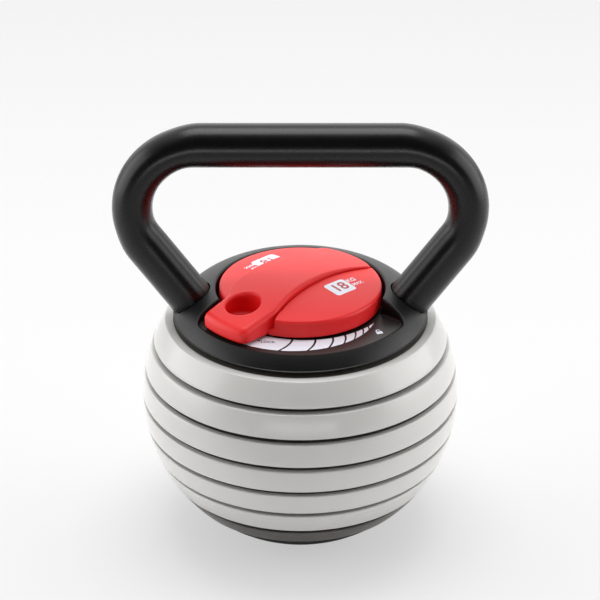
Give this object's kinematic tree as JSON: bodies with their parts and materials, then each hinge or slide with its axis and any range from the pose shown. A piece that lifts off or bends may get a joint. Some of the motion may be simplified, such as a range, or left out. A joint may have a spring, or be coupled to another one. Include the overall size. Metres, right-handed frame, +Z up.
{
  "type": "adjustable kettlebell",
  "caption": "Adjustable kettlebell: bent tube handle over a ball-shaped stack of round plates, locked from above by a quarter-turn lever dial.",
  "frame": {"origin": "on the floor under the middle of the plate stack, at the centre of the foot", "axes": "+Z up along the stack and the lock's axis, X along the grip, -Y towards the lever's side when locked"},
  "size_m": [0.2586, 0.22, 0.3005],
  "materials": {
    "black_satin_steel": "satin black powder coat",
    "black_plastic": "satin moulded plastic",
    "red_plastic": "soft satin moulded plastic",
    "grey_iron": "glossy light grey enamel",
    "label_film": "satin printed film",
    "dock_plastic": "dark semi-gloss moulded plastic",
    "foot_rubber": "matt moulded rubber",
    "bright_steel": "zinc plated",
    "bronze": "sintered bronze",
    "nylon": "natural nylon"
  },
  "bodies": {
    "stack": {"handle_tube": "black_satin_steel", "head_plate": "black_satin_steel", "top_cap": "black_plastic", "cap_screws": "bright_steel", "scale_label": "label_film", "thrust_washer": "nylon", "spindle_bush": "bronze", "plate_1": "grey_iron", "plate_2": "grey_iron", "plate_3": "grey_iron", "plate_4": "grey_iron", "plate_5": "grey_iron", "plate_6": "grey_iron", "dock": "dock_plastic", "catch_plate": "bright_steel", "catch_screws": "bright_steel", "foot_ring": "foot_rubber", "foot_screws": "bright_steel"},
    "lock": {"dial": "red_plastic", "lever": "red_plastic", "lever_screws": "bright_steel", "dial_bolt": "bright_steel", "dial_washer": "bright_steel", "wave_washer": "bright_steel", "spindle": "bright_steel", "circlip": "bright_steel"}
  },
  "joints": [
    {"name": "lock_turn", "type": "hinge", "parent": "stack", "child": "lock", "pos_m": [0, 0, 0.1685], "axis": [0, 0, 1], "range_deg": [0, 90]}
  ]
}
